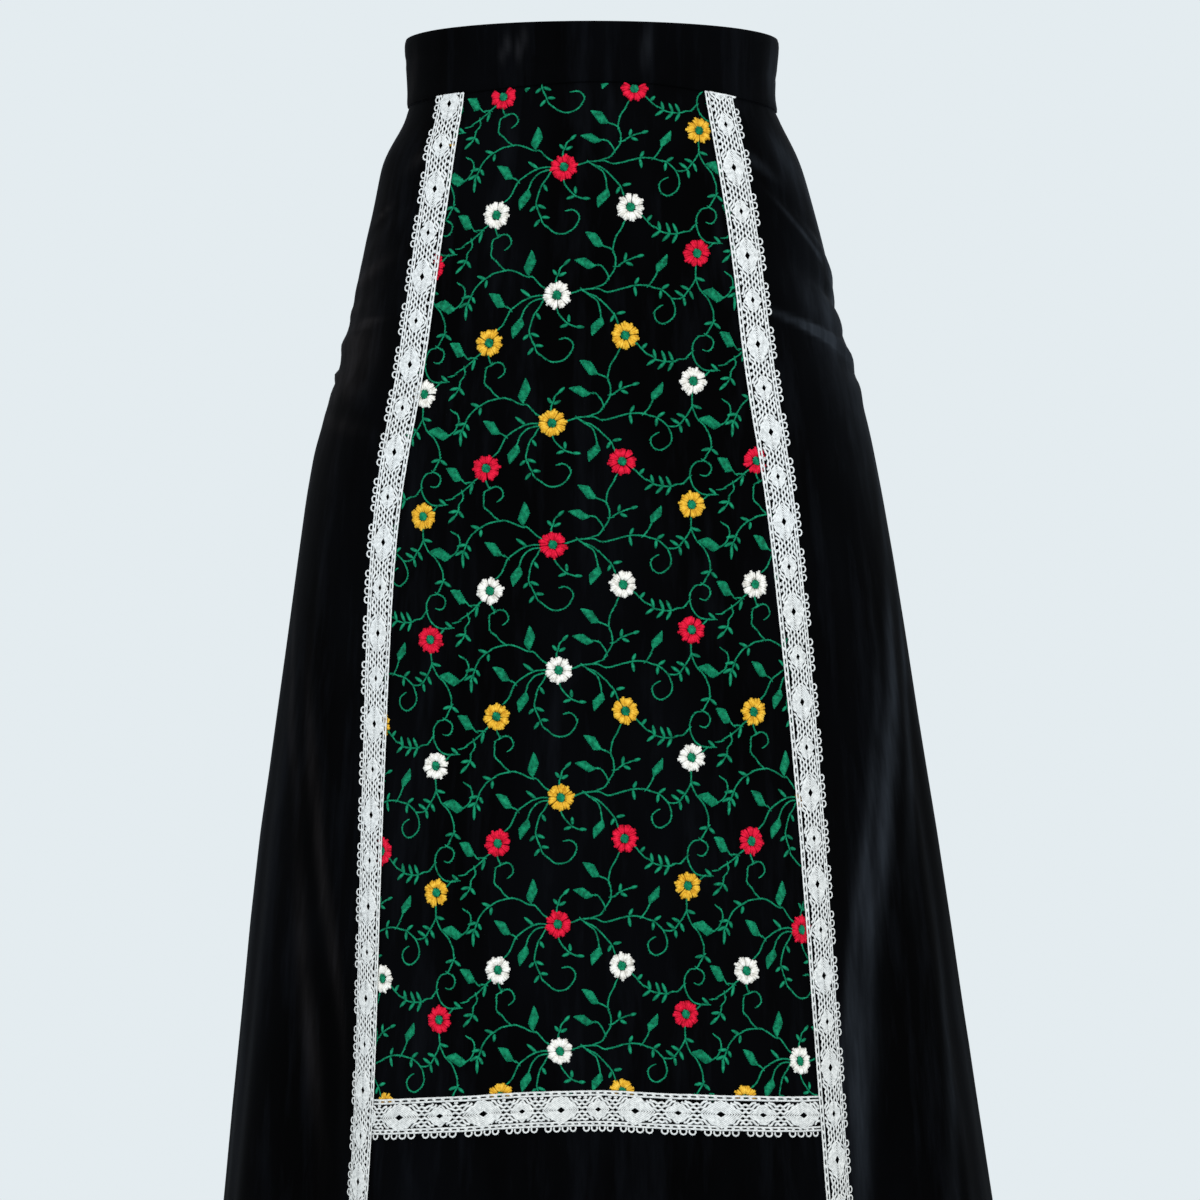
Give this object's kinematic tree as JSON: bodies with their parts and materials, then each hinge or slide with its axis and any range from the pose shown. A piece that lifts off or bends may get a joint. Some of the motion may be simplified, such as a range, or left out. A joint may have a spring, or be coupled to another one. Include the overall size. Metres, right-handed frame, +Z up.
{
  "type": "prairie skirt",
  "caption": "Floor-length A-line velvet skirt in its worn form, with a fitted waistband, a flower-embroidered front panel edged in cotton lace, and a zip at the back.",
  "frame": {"origin": "centre of the waistband's opening at the middle of its height, where the skirt is held on the waist", "axes": "+Z up, -Y the wearer's front, +X the wearer's left, which is the right of the front view"},
  "size_m": [0.563, 0.4283, 1.0002],
  "materials": {
    "velvet": "cut-pile cotton velvet, black",
    "lace": "cotton bobbin lace, cream white",
    "zip_tape": "woven tape, black",
    "zip_metal": "black enamelled metal"
  },
  "bodies": {
    "skirt": {"waistband": "velvet", "embroidered_panel": "velvet", "lower_panel": "velvet", "side_front_left": "velvet", "side_front_right": "velvet", "back_left": "velvet", "back_right": "velvet", "lace_left": "lace", "lace_right": "lace", "lace_lower": "lace", "zip_tape": "zip_tape", "zip_slider": "zip_metal"},
    "pull": {"zip_pull": "zip_metal"}
  },
  "joints": [
    {"name": "zip_pull_swing", "type": "hinge", "parent": "skirt", "child": "pull", "pos_m": [0, 0.09703, 0.009], "axis": [1, 0, 0], "range_deg": [0, 150]}
  ]
}
